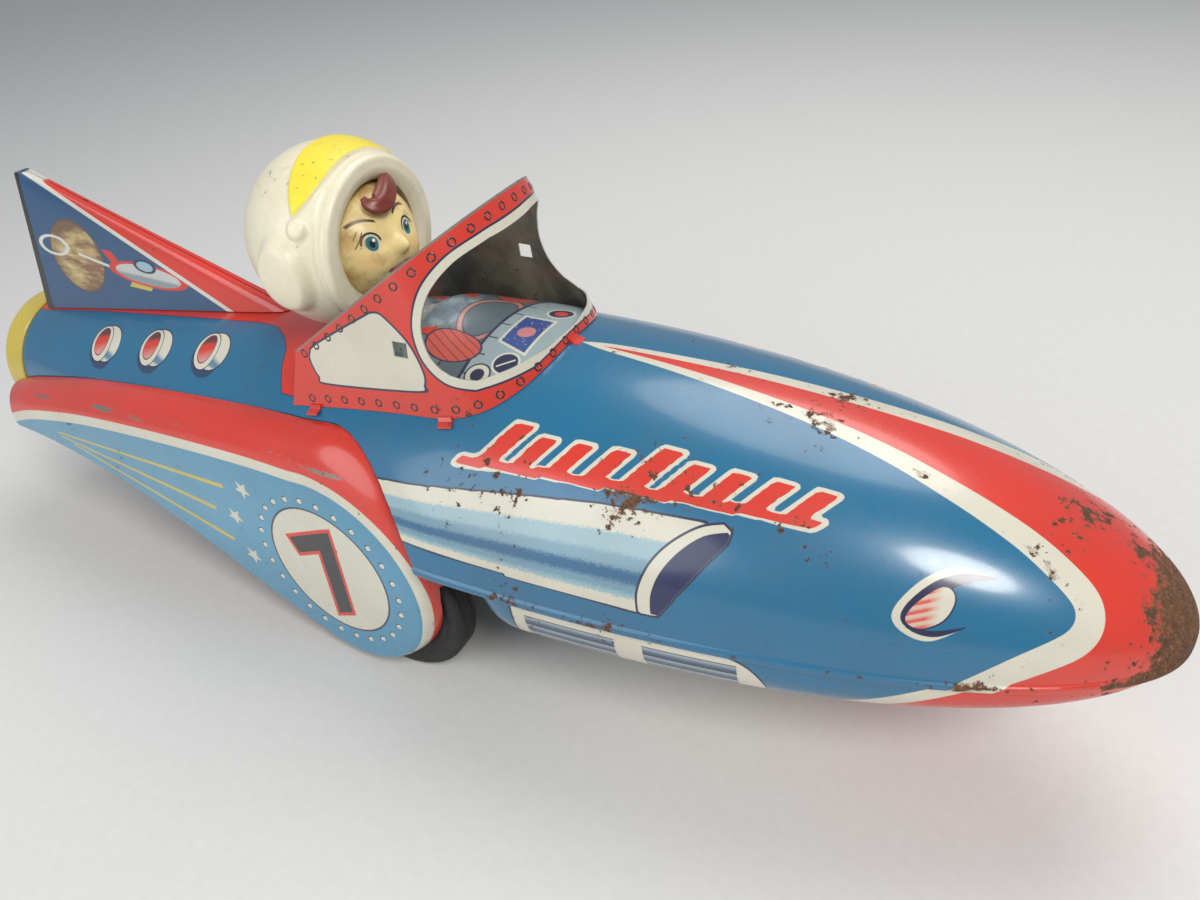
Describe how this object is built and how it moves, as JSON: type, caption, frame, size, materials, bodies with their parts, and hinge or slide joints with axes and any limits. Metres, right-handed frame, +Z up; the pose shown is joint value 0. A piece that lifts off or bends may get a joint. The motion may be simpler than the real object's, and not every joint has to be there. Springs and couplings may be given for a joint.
{
  "type": "tin space rocket racer",
  "caption": "Friction-drive pressed tin rocket racer with two wheel pods, a tail fin, an open bent windscreen and a vinyl pilot's head that turns.",
  "frame": {"origin": "on the floor, below the middle of the overall length, on the centre plane", "axes": "+X towards the nose, +Y to the rocket's left, +Z up"},
  "size_m": [0.3599, 0.0978, 0.1388],
  "materials": {
    "body_litho": "gloss lithographed tin, blue with red and cream",
    "pod_litho": "gloss lithographed tin, red with a light blue panel",
    "fin_litho": "gloss lithographed tin, dark blue with a red edge",
    "screen_litho": "gloss lithographed tin, red outside and bare inside",
    "cup_yellow": "gloss yellow lithographed tin",
    "cockpit_litho": "gloss lithographed tin, grey blue",
    "vinyl": "soft vinyl, cream, painted face",
    "bare_tin": "bare tin plate, dull",
    "steel": "turned steel",
    "brass": "stamped brass, dull",
    "rubber": "black rubber, dusty"
  },
  "bodies": {
    "rocket_body": {"upper_shell": "body_litho", "lower_shell": "body_litho", "tail_pan": "body_litho", "tail_cup": "cup_yellow", "fin_half_right": "fin_litho", "fin_half_left": "fin_litho", "pod_right": "pod_litho", "pod_left": "pod_litho", "pod_clip_right": "bare_tin", "pod_clip_left": "bare_tin", "windscreen": "screen_litho", "cockpit_panel": "cockpit_litho", "neck_collar": "vinyl", "base_plate": "bare_tin", "motor_plate_right": "bare_tin", "motor_plate_left": "bare_tin", "motor_spacer_front": "steel", "motor_spacer_middle": "steel", "motor_spacer_rear": "steel", "tail_fork": "bare_tin", "tail_axle": "steel"},
    "drive_wheels": {"drive_axle": "steel", "drive_gear": "brass", "wheel_hub_right": "bare_tin", "wheel_hub_left": "bare_tin", "tyre_right": "rubber", "tyre_left": "rubber"},
    "idler": {"idler_shaft": "steel", "idler_gear": "brass"},
    "flywheel": {"flywheel_shaft": "steel", "flywheel_pinion": "brass", "flywheel_right": "steel", "flywheel_left": "steel"},
    "tail_wheel": {"tail_wheel": "rubber"},
    "pilot": {"pilot_head": "vinyl"}
  },
  "joints": [
    {"name": "drive_spin", "type": "hinge", "parent": "rocket_body", "child": "drive_wheels", "pos_m": [-0.01, 0, 0.0235], "axis": [0, 1, 0], "continuous": true},
    {"name": "idler_spin", "type": "hinge", "parent": "rocket_body", "child": "idler", "pos_m": [-0.02901, 0, 0.0297], "axis": [0, 1, 0], "continuous": true},
    {"name": "flywheel_spin", "type": "hinge", "parent": "rocket_body", "child": "flywheel", "pos_m": [-0.04803, 0, 0.0359], "axis": [0, 1, 0], "continuous": true},
    {"name": "tail_wheel_spin", "type": "hinge", "parent": "rocket_body", "child": "tail_wheel", "pos_m": [-0.124, 0, 0.0105], "axis": [0, 1, 0], "continuous": true},
    {"name": "head_turn", "type": "hinge", "parent": "rocket_body", "child": "pilot", "pos_m": [-0.0325, 0, 0.1], "axis": [0, 0, 1], "continuous": true}
  ],
  "couplings": [
    {"joint": "idler_spin", "follows": "drive_spin", "ratio": -3},
    {"joint": "flywheel_spin", "follows": "drive_spin", "ratio": 9}
  ]
}
